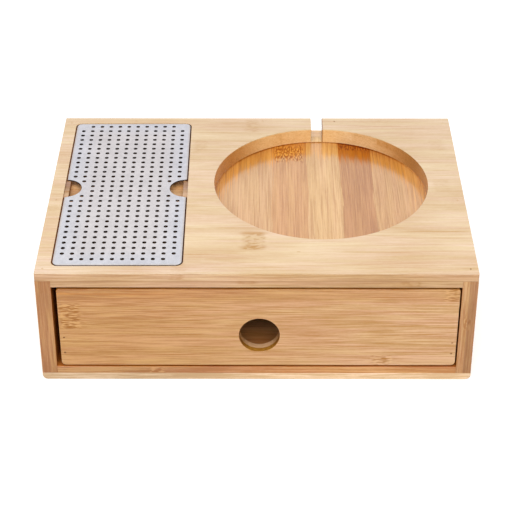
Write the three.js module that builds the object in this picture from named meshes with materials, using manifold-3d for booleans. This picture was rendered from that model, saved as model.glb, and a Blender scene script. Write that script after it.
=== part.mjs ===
// Bamboo drip tray: a low laminated-bamboo box with a drawer. Its top carries a
// perforated stainless drip grate over a shallow well and a round recess for a
// kettle base with a cord slot to the back edge.
// Millimetres, +Z up, front towards -Y, origin at the centre of the base.

import * as THREE from 'three';
import { mergeVertices } from 'three/addons/utils/BufferGeometryUtils.js';
import Module from 'manifold-3d';

// ---------------------------------------------------------------- dimensions
const WIDTH = 350;              // overall, X
const DEPTH = 255;              // overall, Y
const HEIGHT = 104;             // overall, Z

const TOP_T = 12.75;            // top board, two plies
const TOP_PLY = 7;              // its upper ply, which runs out over the sides
const BOTTOM_T = 12.75;         // bottom board, two plies
const BOTTOM_PLY = 6.5;         // its lower ply, which runs out under the sides
const BOTTOM_ROUND = 3.25;      // rounding of its two long lower edges
const SIDE_T = 12.5;            // side boards
const BACK_T = 12;              // back board
const FLOOR_T = 5.25;           // thin floor board under the top
const FLOOR_FRONT = -116.25;    // its front edge stops the drawer

const RECESS_X = 54.9;          // kettle recess centre
const RECESS_Y = 14.5;
const RECESS_R = 91.6;
const SEAT_R = 91.3;            // milled seat in the floor board
const SEAT_DEPTH = 0.75;
const SLOT_W = 11.75;           // cord slot

const GRATE_X0 = -162.5;        // drip grate outline
const GRATE_X1 = -60;
const GRATE_Y0 = -114.5;
const GRATE_Y1 = 116.75;
const GRATE_T = 1.25;
const GRATE_R = 5;              // corner radius
const GRATE_GAP = 1;            // gap to the recess at the left, right and front
const GRATE_GAP_BACK = 0.75;
const GRATE_SET = 0.25;         // its top lies this far below the board
const LEDGE = 4;                // ledge that carries it
const HOLE_R = 1.7;             // drain holes
const HOLE_SIDES = 6;
const HOLE_PITCH_X = 8.13;
const HOLE_PITCH_Y = 8.04;
const HOLE_COLS = 12;
const HOLE_ROWS = 28;
const HOLE_X0 = -156.2;         // first column
const HOLE_Y0 = 111.25;         // first row, at the back
const NOTCH_R = 14.25;          // half-round finger notches
const NOTCH_Y = 3.25;

const DRAWER_X0 = -158.5;       // drawer, hangs a little to the right
const DRAWER_X1 = 161.25;
const FRONT_T = 11;             // drawer front
const FRONT_Z0 = 14.5;
const FRONT_Z1 = 89.25;
const FINGER_X = 2.25;          // finger hole
const FINGER_Z = 44.4;
const FINGER_R = 16.3;
const BOX_T = 7;                // drawer sides and back
const BOX_Z0 = 13;
const BOX_Z1 = 80;
const BOX_Y1 = 110;             // outside of the drawer back
const TRAY_T = 4;               // drawer bottom
const TRAY_Z0 = 18;
const GROOVE_DEPTH = 3.5;
const GROOVE_CLEAR = 0.3;

const BRAD_L = 25;              // brads
const BRAD_R = 0.6;
const BRAD_HEAD_R = 0.95;
const BRAD_HEAD_T = 0.65;
const BRAD_SET = 0.4;           // heads are set below the surface
const BORE_R = 0.95;
const BORE_HEAD_R = 1.3;
const BRAD_SIDES = 6;

// ------------------------------------------------------------- derived levels
const X = WIDTH / 2;
const Y = DEPTH / 2;
const TOP_UNDER = HEIGHT - TOP_T;          // underside of the top board
const SIDE_TOP = HEIGHT - TOP_PLY;         // upper end of the sides
const INNER_X = X - SIDE_T;                // inner faces of the sides
const BACK_Y0 = Y - BACK_T;                // inner face of the back
const GRATE_Z1 = HEIGHT - GRATE_SET;
const GRATE_Z0 = GRATE_Z1 - GRATE_T;       // ledge level

// ------------------------------------------------------------------ materials
const finish = (color, roughness, metalness) => new THREE.MeshStandardMaterial({ color, roughness, metalness });
const bambooTop = finish(0xecd0aa, 0.55, 0);
const bambooSide = finish(0xc8976a, 0.6, 0);
const bambooFront = finish(0xd4a56e, 0.55, 0);
const bambooFloor = finish(0xd2a878, 0.6, 0);
const bambooInside = finish(0xcda677, 0.65, 0);
const stainless = finish(0xd6d6d8, 0.35, 1);
const bradSteel = finish(0x6a5a4a, 0.5, 1);

// --------------------------------------------------------------- solid helpers
const wasm = await Module();
wasm.setup();

// a closed triangle mesh as a solid
function solid(geometry) {
  const g = geometry.index ? geometry.toNonIndexed() : geometry.clone();
  const bare = new THREE.BufferGeometry();
  bare.setAttribute('position', g.getAttribute('position'));
  const merged = mergeVertices(bare, 1e-4);
  return new wasm.Manifold(new wasm.Mesh({
    numProp: 3,
    vertProperties: new Float32Array(merged.attributes.position.array),
    triVerts: new Uint32Array(merged.index.array),
  }));
}

// and back again, flat shaded
function geometryOf(manifold) {
  const mesh = manifold.getMesh();
  const indexed = new THREE.BufferGeometry();
  const positions = new Float32Array(mesh.vertProperties.length / mesh.numProp * 3);
  for (let i = 0; i < positions.length / 3; i += 1) {
    for (let k = 0; k < 3; k += 1) positions[i * 3 + k] = mesh.vertProperties[i * mesh.numProp + k];
  }
  indexed.setAttribute('position', new THREE.BufferAttribute(positions, 3));
  indexed.setIndex(new THREE.BufferAttribute(new Uint32Array(mesh.triVerts), 1));
  return indexed;
}

function cut(base, tools) {
  let result = solid(base);
  for (const tool of tools) result = result.subtract(solid(tool));
  return geometryOf(result);
}

// a box between two corners
function block(x0, y0, z0, x1, y1, z1) {
  const g = new THREE.BoxGeometry(x1 - x0, y1 - y0, z1 - z0);
  g.translate((x0 + x1) / 2, (y0 + y1) / 2, (z0 + z1) / 2);
  return g;
}

// an upright prism of a plan outline
function prism(shape, z0, z1, curveSegments = 8) {
  const g = new THREE.ExtrudeGeometry(shape, { depth: z1 - z0, bevelEnabled: false, curveSegments });
  g.translate(0, 0, z0);
  return g;
}

// a board of constant section (x, z), from front to back
function boardAlongY(section) {
  const g = new THREE.ExtrudeGeometry(section, { depth: DEPTH, bevelEnabled: false, curveSegments: 6 });
  g.rotateX(Math.PI / 2);
  g.translate(0, Y, 0);
  return g;
}

// a round bar between two levels on Z, Y or X
function disc(radius, length, sides) {
  return new THREE.CylinderGeometry(radius, radius, length, sides);
}

function polygonShape(points) {
  const s = new THREE.Shape();
  s.moveTo(points[0][0], points[0][1]);
  for (const [px, py] of points.slice(1)) s.lineTo(px, py);
  s.closePath();
  return s;
}

function roundedRect(x0, y0, x1, y1, r) {
  const s = new THREE.Shape();
  s.moveTo(x0 + r, y0);
  s.lineTo(x1 - r, y0);
  s.absarc(x1 - r, y0 + r, r, -Math.PI / 2, 0, false);
  s.lineTo(x1, y1 - r);
  s.absarc(x1 - r, y1 - r, r, 0, Math.PI / 2, false);
  s.lineTo(x0 + r, y1);
  s.absarc(x0 + r, y1 - r, r, Math.PI / 2, Math.PI, false);
  s.lineTo(x0, y0 + r);
  s.absarc(x0 + r, y0 + r, r, Math.PI, Math.PI * 1.5, false);
  return s;
}

// ---------------------------------------------------------------------- brads
// Each brad is driven along -dir from a surface point, so its head looks along dir.
const UP = new THREE.Vector3(0, 1, 0);
const brads = {
  top: [], bottom: [], front: [], back: [],
};

function lathe(profile) {
  return new THREE.LatheGeometry(profile.map(([r, h]) => new THREE.Vector2(r, h)), BRAD_SIDES);
}

function driven(geometry, point, dir) {
  const turn = new THREE.Quaternion().setFromUnitVectors(UP, dir);
  return geometry.applyQuaternion(turn).translate(point.x, point.y, point.z);
}

function addBrad(set, name, point, dir) {
  brads[set].push({ name, point: new THREE.Vector3(...point), dir: new THREE.Vector3(...dir) });
}

function bradGeometry() {
  const head = -BRAD_SET;
  const under = head - BRAD_HEAD_T;
  const tip = head - BRAD_L;
  return lathe([[0, tip], [BRAD_R, tip + 1.5], [BRAD_R, under], [BRAD_HEAD_R, under], [BRAD_HEAD_R, head], [0, head]]);
}

function bradBore(brad) {
  const step = -BRAD_SET - BRAD_HEAD_T - 0.35;
  const end = -BRAD_SET - BRAD_L - 0.4;
  const g = lathe([[0, end], [BORE_R, end], [BORE_R, step], [BORE_HEAD_R, step], [BORE_HEAD_R, 1], [0, 1]]);
  return driven(g, brad.point, brad.dir);
}

const edgeX = X - SIDE_T / 2;
for (const [where, y] of [['front', -120], ['middle', -16.5], ['rear', 118]]) {
  addBrad('top', `brad_top_left_${where}`, [-edgeX, y, HEIGHT], [0, 0, 1]);
  addBrad('top', `brad_top_right_${where}`, [edgeX, y, HEIGHT], [0, 0, 1]);
}
for (const [where, x] of [['left', -110], ['centre', 5], ['inner_right', 70.5], ['right', 111]]) {
  addBrad('top', `brad_top_back_${where}`, [x, 121.25, HEIGHT], [0, 0, 1]);
}
for (const [where, y] of [['front', -110], ['middle', 0], ['rear', 108]]) {
  addBrad('bottom', `brad_bottom_left_${where}`, [-edgeX, y, 0], [0, 0, -1]);
  addBrad('bottom', `brad_bottom_right_${where}`, [edgeX, y, 0], [0, 0, -1]);
}
for (const [where, x] of [['left', -100], ['right', 100]]) {
  addBrad('bottom', `brad_bottom_back_${where}`, [x, 121.5, 0], [0, 0, -1]);
}
for (const [where, x, z] of [
  ['left_upper', DRAWER_X0 + BOX_T / 2, 42.25], ['left_lower', DRAWER_X0 + BOX_T / 2, 27.25],
  ['right_upper', DRAWER_X1 - BOX_T / 2, 37.25], ['right_lower', DRAWER_X1 - BOX_T / 2, 26.5],
]) {
  addBrad('front', `brad_drawer_front_${where}`, [x, -Y, z], [0, -1, 0]);
}
for (const [where, z] of [['upper', 62], ['lower', 34]]) {
  addBrad('back', `brad_drawer_back_left_${where}`, [DRAWER_X0, BOX_Y1 - BOX_T / 2, z], [-1, 0, 0]);
  addBrad('back', `brad_drawer_back_right_${where}`, [DRAWER_X1, BOX_Y1 - BOX_T / 2, z], [1, 0, 0]);
}
const bores = (set, keep = () => true) => brads[set].filter(keep).map(bradBore);

// ---------------------------------------------------------------- scene graph
const tray = new THREE.Group();
const carcass = new THREE.Group();
const drawer = new THREE.Group();
tray.add(carcass, drawer);

// geometry is drawn where it lies, then carried to its own centre
function piece(parent, name, geometry, material) {
  geometry.computeBoundingBox();
  const centre = new THREE.Vector3();
  geometry.boundingBox.getCenter(centre);
  centre.set(...centre.toArray().map((v) => Math.round(v * 4) / 4));
  geometry.translate(-centre.x, -centre.y, -centre.z);
  geometry.computeVertexNormals();
  const mesh = new THREE.Mesh(geometry, material);
  mesh.name = name;
  mesh.position.copy(centre);
  parent.add(mesh);
  return mesh;
}

function driveBrads(parent, set) {
  for (const brad of brads[set]) {
    const mesh = new THREE.Mesh(bradGeometry(), bradSteel);
    mesh.name = brad.name;
    mesh.position.copy(brad.point);
    mesh.quaternion.setFromUnitVectors(UP, brad.dir);
    parent.add(mesh);
  }
}

// --------------------------------------------------------------------- carcass
// top board: T-section over the sides, cut by the grate's recess, the drip well down to
// the lower ply, the kettle recess and the cord slot
const topSection = polygonShape([
  [-INNER_X, TOP_UNDER], [INNER_X, TOP_UNDER], [INNER_X, SIDE_TOP], [X, SIDE_TOP],
  [X, HEIGHT], [-X, HEIGHT], [-X, SIDE_TOP], [-INNER_X, SIDE_TOP],
]);
const recessX0 = GRATE_X0 - GRATE_GAP;
const recessX1 = GRATE_X1 + GRATE_GAP;
const recessY0 = GRATE_Y0 - GRATE_GAP;
const recessY1 = GRATE_Y1 + GRATE_GAP_BACK;
const grateRecess = prism(
  roundedRect(recessX0, recessY0, recessX1, recessY1, GRATE_R + GRATE_GAP), GRATE_Z0, HEIGHT + 1, 5);
const dripWell = prism(
  roundedRect(recessX0 + LEDGE, recessY0 + LEDGE, recessX1 - LEDGE, recessY1 - LEDGE, 4), SIDE_TOP, HEIGHT + 1, 5);
const kettleRecess = disc(RECESS_R, TOP_T + 2, 88)
  .rotateX(Math.PI / 2).translate(RECESS_X, RECESS_Y, HEIGHT - TOP_T / 2);
const cordSlot = block(
  RECESS_X - SLOT_W / 2, RECESS_Y, TOP_UNDER - 1, RECESS_X + SLOT_W / 2, Y + 1, HEIGHT + 1);
piece(carcass, 'top_panel', cut(boardAlongY(topSection), [
  grateRecess, dripWell, kettleRecess, cordSlot, ...bores('top'),
]), bambooTop);

// side boards, housed in the rabbets of the top and bottom boards
for (const [name, side] of [['left_side_panel', -1], ['right_side_panel', 1]]) {
  const board = side < 0
    ? block(-X, -Y, BOTTOM_PLY, -INNER_X, Y, SIDE_TOP)
    : block(INNER_X, -Y, BOTTOM_PLY, X, Y, SIDE_TOP);
  const own = (brad) => brad.point.x * side > INNER_X;
  piece(carcass, name, cut(board, [...bores('top', own), ...bores('bottom', own)]), bambooSide);
}

// back board between the sides
const atBack = (brad) => Math.abs(brad.point.x) < INNER_X;
piece(carcass, 'back_panel', cut(
  block(-INNER_X, BACK_Y0, BOTTOM_T, INNER_X, Y, TOP_UNDER),
  [...bores('top', atBack), ...bores('bottom', atBack)],
), bambooSide);

// bottom board: T-section under the sides, long lower edges rounded
const bottomSection = new THREE.Shape();
bottomSection.moveTo(-X + BOTTOM_ROUND, 0);
bottomSection.lineTo(X - BOTTOM_ROUND, 0);
bottomSection.absarc(X - BOTTOM_ROUND, BOTTOM_ROUND, BOTTOM_ROUND, -Math.PI / 2, 0, false);
bottomSection.lineTo(X, BOTTOM_PLY);
bottomSection.lineTo(INNER_X, BOTTOM_PLY);
bottomSection.lineTo(INNER_X, BOTTOM_T);
bottomSection.lineTo(-INNER_X, BOTTOM_T);
bottomSection.lineTo(-INNER_X, BOTTOM_PLY);
bottomSection.lineTo(-X, BOTTOM_PLY);
bottomSection.lineTo(-X, BOTTOM_ROUND);
bottomSection.absarc(-X + BOTTOM_ROUND, BOTTOM_ROUND, BOTTOM_ROUND, Math.PI, Math.PI * 1.5, false);
piece(carcass, 'bottom_panel', cut(boardAlongY(bottomSection), bores('bottom')), bambooTop);

// thin floor board under the top, with the kettle seat milled into it
piece(carcass, 'recess_floor_panel', cut(
  block(-INNER_X, FLOOR_FRONT, TOP_UNDER - FLOOR_T, INNER_X, BACK_Y0, TOP_UNDER),
  [disc(SEAT_R, SEAT_DEPTH + 1, 88).rotateX(Math.PI / 2)
    .translate(RECESS_X, RECESS_Y, TOP_UNDER - SEAT_DEPTH + (SEAT_DEPTH + 1) / 2)],
), bambooFloor);
driveBrads(carcass, 'top');
driveBrads(carcass, 'bottom');

// ------------------------------------------------------------------ drip grate
const grateShape = new THREE.Shape();
grateShape.moveTo(GRATE_X0 + GRATE_R, GRATE_Y0);
grateShape.lineTo(GRATE_X1 - GRATE_R, GRATE_Y0);
grateShape.absarc(GRATE_X1 - GRATE_R, GRATE_Y0 + GRATE_R, GRATE_R, -Math.PI / 2, 0, false);
grateShape.lineTo(GRATE_X1, NOTCH_Y - NOTCH_R);
grateShape.absarc(GRATE_X1, NOTCH_Y, NOTCH_R, -Math.PI / 2, -Math.PI * 1.5, true);
grateShape.lineTo(GRATE_X1, GRATE_Y1 - GRATE_R);
grateShape.absarc(GRATE_X1 - GRATE_R, GRATE_Y1 - GRATE_R, GRATE_R, 0, Math.PI / 2, false);
grateShape.lineTo(GRATE_X0 + GRATE_R, GRATE_Y1);
grateShape.absarc(GRATE_X0 + GRATE_R, GRATE_Y1 - GRATE_R, GRATE_R, Math.PI / 2, Math.PI, false);
grateShape.lineTo(GRATE_X0, NOTCH_Y + NOTCH_R);
grateShape.absarc(GRATE_X0, NOTCH_Y, NOTCH_R, Math.PI / 2, -Math.PI / 2, true);
grateShape.lineTo(GRATE_X0, GRATE_Y0 + GRATE_R);
grateShape.absarc(GRATE_X0 + GRATE_R, GRATE_Y0 + GRATE_R, GRATE_R, Math.PI, Math.PI * 1.5, false);

// holes left out at each end of a row, for the corners and around the notches
function holesLeftOut(row) {
  if (row === 0 || row === HOLE_ROWS - 1 || row === 12 || row === 15) return 1;
  if (row === 13 || row === 14) return 2;
  return 0;
}
for (let row = 0; row < HOLE_ROWS; row += 1) {
  const out = holesLeftOut(row);
  for (let col = out; col < HOLE_COLS - out; col += 1) {
    const cx = HOLE_X0 + HOLE_PITCH_X * col;
    const cy = HOLE_Y0 - HOLE_PITCH_Y * row;
    const hole = new THREE.Path();
    for (let k = 0; k < HOLE_SIDES; k += 1) {
      const a = -Math.PI * 2 * (k + 0.5) / HOLE_SIDES;
      const p = [cx + HOLE_R * Math.cos(a), cy + HOLE_R * Math.sin(a)];
      if (k) hole.lineTo(...p); else hole.moveTo(...p);
    }
    hole.closePath();
    grateShape.holes.push(hole);
  }
}
piece(tray, 'drip_grate', geometryOf(solid(prism(grateShape, GRATE_Z0, GRATE_Z1, 6))), stainless);

// ---------------------------------------------------------------------- drawer
// groove for the drawer bottom, all round the inside of the drawer
const frontY1 = -Y + FRONT_T;
const innerX0 = DRAWER_X0 + BOX_T;
const innerX1 = DRAWER_X1 - BOX_T;
const innerY1 = BOX_Y1 - BOX_T;
const groove = () => block(
  innerX0 - GROOVE_DEPTH, frontY1 - GROOVE_DEPTH, TRAY_Z0 - GROOVE_CLEAR,
  innerX1 + GROOVE_DEPTH, innerY1 + GROOVE_DEPTH, TRAY_Z0 + TRAY_T + GROOVE_CLEAR);

const fingerHole = disc(FINGER_R, FRONT_T + 4, 36).translate(FINGER_X, -Y + FRONT_T / 2, FINGER_Z);
piece(drawer, 'drawer_front', cut(
  block(DRAWER_X0, -Y, FRONT_Z0, DRAWER_X1, frontY1, FRONT_Z1),
  [fingerHole, groove(), ...bores('front')],
), bambooFront);

for (const [name, x0, x1, left] of [
  ['drawer_left_side', DRAWER_X0, innerX0, true],
  ['drawer_right_side', innerX1, DRAWER_X1, false],
]) {
  const own = (brad) => (brad.point.x < 0) === left;
  piece(drawer, name, cut(
    block(x0, frontY1, BOX_Z0, x1, BOX_Y1, BOX_Z1),
    [groove(), ...bores('front', own), ...bores('back', own)],
  ), bambooInside);
}

piece(drawer, 'drawer_back', cut(
  block(innerX0, innerY1, BOX_Z0, innerX1, BOX_Y1, BOX_Z1),
  [groove(), ...bores('back')],
), bambooInside);

const trayIn = GROOVE_DEPTH - GROOVE_CLEAR;
piece(drawer, 'drawer_bottom', block(
  innerX0 - trayIn, frontY1 - trayIn, TRAY_Z0, innerX1 + trayIn, innerY1 + trayIn, TRAY_Z0 + TRAY_T,
), bambooInside);
driveBrads(drawer, 'front');
driveBrads(drawer, 'back');

export default tray;
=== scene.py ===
"""Bamboo drip tray: laminated boards, a drawer, a perforated steel grate and a round
kettle recess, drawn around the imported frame. Objects are in metres, and the drawing
helpers take millimetres in the same frame (front towards -Y, +Z up)."""

import math

import bmesh
import bpy
from mathutils import Matrix, Vector
from mathutils.geometry import delaunay_2d_cdt


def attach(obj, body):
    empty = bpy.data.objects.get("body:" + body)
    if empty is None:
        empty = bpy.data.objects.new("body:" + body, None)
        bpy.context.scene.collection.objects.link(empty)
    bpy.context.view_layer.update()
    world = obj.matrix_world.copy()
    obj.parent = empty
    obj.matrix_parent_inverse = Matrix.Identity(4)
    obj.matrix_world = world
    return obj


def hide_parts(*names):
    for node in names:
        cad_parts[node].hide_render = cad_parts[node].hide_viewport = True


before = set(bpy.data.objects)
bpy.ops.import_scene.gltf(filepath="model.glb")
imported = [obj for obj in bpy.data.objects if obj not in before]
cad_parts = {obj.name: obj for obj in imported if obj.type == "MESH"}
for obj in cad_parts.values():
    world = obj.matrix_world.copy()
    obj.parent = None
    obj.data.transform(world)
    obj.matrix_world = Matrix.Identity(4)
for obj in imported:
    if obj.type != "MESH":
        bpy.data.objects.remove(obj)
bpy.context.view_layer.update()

MM = 0.001
scene = bpy.context.scene

# ------------------------------------------------------------------ dimensions
X, Y, H = 175.0, 127.5, 104.0        # half width, half depth, height
TOP_UNDER, SIDE_TOP = 91.25, 97.0    # underside of the top board, its ply line
BOTTOM_T, BOTTOM_PLY = 12.75, 6.5
INNER_X = 162.5
BACK_Y0 = 115.5
FLOOR_FRONT, FLOOR_T = -116.25, 5.25
RX, RY, RR = 54.9, 14.5, 91.4      # kettle recess
SEAT_R, SEAT_DEPTH = 91.1, 0.75
SLOT_W, SLOT_R = 11.75, 3.9          # cord slot, and its right half with the eased edge
GX0, GX1, GY0, GY1 = -162.5, -60.0, -114.5, 116.75    # grate
GZ0, GZ1, G_R = 102.5, 103.75, 5.0
GAP, GAP_BACK, LEDGE = 1.0, 0.15, 4.0
HOLE_R, PITCH_X, PITCH_Y, HOLE_X0, HOLE_Y0 = 1.7, 8.13, 8.04, -156.2, 111.25
ASKEW = 0.0049                       # radians, of the grate and its recess
NOTCH_R, NOTCH_Y, NOTCH_IN = 14.25, 3.25, 1.0     # finger notches; the left one is shallower
DX0, DX1 = -158.5, 161.25            # drawer
FRONT_T, FRONT_Z0, FRONT_Z1 = 11.0, 14.5, 89.25
FINGER_X, FINGER_Z, FINGER_R = 2.25, 44.4, 16.3
BOX_T, BOX_Z0, BOX_Z1, BOX_Y1 = 7.0, 13.0, 80.0, 110.0
TRAY_Z0, TRAY_T, GROOVE, CLEAR = 18.0, 4.0, 3.5, 0.3
FRONT_Y1 = -Y + FRONT_T


# ------------------------------------------------------------------ mesh helpers
def new_object(name, mesh):
    ob = bpy.data.objects.new(name, mesh)
    scene.collection.objects.link(ob)
    return ob


def mesh_of(bm, name):
    me = bpy.data.meshes.new(name)
    bm.to_mesh(me)
    bm.free()
    return me


def prism(bm, pts, lo, hi, axis="z"):
    """A closed prism of an outline, between two levels on an axis."""
    order = {"z": lambda a, b, c: (a, b, c), "y": lambda a, b, c: (a, c, b), "x": lambda a, b, c: (c, a, b)}[axis]
    low = [bm.verts.new(Vector(order(a, b, lo)) * MM) for a, b in pts]
    high = [bm.verts.new(Vector(order(a, b, hi)) * MM) for a, b in pts]
    faces = [bm.faces.new(low[::-1]), bm.faces.new(high)]
    n = len(pts)
    for i in range(n):
        j = (i + 1) % n
        faces.append(bm.faces.new((low[i], low[j], high[j], high[i])))
    bmesh.ops.recalc_face_normals(bm, faces=faces)
    return bm


def rect(x0, y0, x1, y1):
    return [(x0, y0), (x1, y0), (x1, y1), (x0, y1)]


def block(bm, x0, y0, z0, x1, y1, z1):
    return prism(bm, rect(x0, y0, x1, y1), z0, z1)


def circle(cx, cy, r, n, turn=0.0):
    return [(cx + r * math.cos(turn + 2 * math.pi * k / n), cy + r * math.sin(turn + 2 * math.pi * k / n)) for k in range(n)]


def arc(cx, cy, r, a0, a1, n):
    return [(cx + r * math.cos(a0 + (a1 - a0) * k / n), cy + r * math.sin(a0 + (a1 - a0) * k / n)) for k in range(n + 1)]


def rounded_rect(x0, y0, x1, y1, r, n=8):
    q = math.pi / 2
    return (arc(x1 - r, y0 + r, r, -q, 0, n) + arc(x1 - r, y1 - r, r, 0, q, n)
            + arc(x0 + r, y1 - r, r, q, 2 * q, n) + arc(x0 + r, y0 + r, r, 2 * q, 3 * q, n))


def askew(pts):
    """Points turned by the small angle that the grate lies at."""
    cx, cy, c, k = (GX0 + GX1) / 2, (GY0 + GY1) / 2, math.cos(ASKEW), math.sin(ASKEW)
    return [(cx + (x - cx) * c - (y - cy) * k, cy + (x - cx) * k + (y - cy) * c) for x, y in pts]


def carve(base, tools):
    """base with tools cut away, as a clean bmesh."""
    a = new_object("work_base", mesh_of(base, "work_base"))
    b = new_object("work_tools", mesh_of(tools, "work_tools"))
    m = a.modifiers.new("cut", "BOOLEAN")
    m.operation, m.solver, m.use_self, m.object = "DIFFERENCE", "EXACT", True, b
    bpy.context.view_layer.update()
    me = bpy.data.meshes.new_from_object(a.evaluated_get(bpy.context.evaluated_depsgraph_get()))
    for o in (a, b):
        old = o.data
        bpy.data.objects.remove(o)
        bpy.data.meshes.remove(old)
    bm = bmesh.new()
    bm.from_mesh(me)
    bpy.data.meshes.remove(me)
    bmesh.ops.remove_doubles(bm, verts=bm.verts, dist=2e-6)
    bmesh.ops.dissolve_limit(bm, angle_limit=math.radians(0.4), verts=bm.verts, edges=bm.edges)
    bmesh.ops.recalc_face_normals(bm, faces=bm.faces)
    return bm


def piece(name, bm, radius_of, material, body, nodes, segments=3):
    """Rounds the convex edges of bm by radius_of(middle, direction) and makes the piece that stands for the nodes."""
    layer = bm.edges.layers.float.new("bevel_weight_edge")
    radii = {}
    for e in bm.edges:
        if len(e.link_faces) != 2 or not e.is_convex or e.calc_face_angle(0.0) < math.radians(25):
            continue
        mid = (e.verts[0].co + e.verts[1].co) / (2 * MM)
        r = radius_of(mid, (e.verts[1].co - e.verts[0].co).normalized())
        if r > 0:
            radii[e] = r
    widest = max(radii.values())
    for e, r in radii.items():
        e[layer] = r / widest
    ob = new_object(name, mesh_of(bm, name))
    m = ob.modifiers.new("round", "BEVEL")
    m.limit_method, m.width, m.segments = "WEIGHT", widest * MM, segments
    m.use_clamp_overlap, m.offset_type = False, "OFFSET"
    bpy.context.view_layer.update()
    me = bpy.data.meshes.new_from_object(ob.evaluated_get(bpy.context.evaluated_depsgraph_get()))
    old = ob.data
    ob.modifiers.clear()
    ob.data = me
    me.name = name
    bpy.data.meshes.remove(old)
    return dress(ob, material, body, nodes)


def dress(ob, material, body, nodes, sharp=40):
    me = ob.data
    me.shade_smooth()
    me.set_sharp_from_angle(angle=math.radians(sharp))
    wn = ob.modifiers.new("normals", "WEIGHTED_NORMAL")
    wn.keep_sharp = True
    me.materials.clear()
    me.materials.append(material)
    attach(ob, body)
    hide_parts(*nodes)
    return ob


# ------------------------------------------------------------------ shader helpers
def lin(r, g, b):
    """An 8-bit display colour as scene-linear RGBA."""
    def f(c):
        c /= 255.0
        return c / 12.92 if c <= 0.04045 else ((c + 0.055) / 1.055) ** 2.4
    return (f(r), f(g), f(b), 1.0)


class Wire:
    def __init__(self, graph, socket):
        self.g, self.s = graph, socket

    def __add__(self, o): return self.g.math("ADD", self, o)
    def __radd__(self, o): return self.g.math("ADD", o, self)
    def __sub__(self, o): return self.g.math("SUBTRACT", self, o)
    def __rsub__(self, o): return self.g.math("SUBTRACT", o, self)
    def __mul__(self, o): return self.g.math("MULTIPLY", self, o)
    def __rmul__(self, o): return self.g.math("MULTIPLY", o, self)
    def __truediv__(self, o): return self.g.math("DIVIDE", self, o)
    def __neg__(self): return self.g.math("MULTIPLY", self, -1.0)


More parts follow.
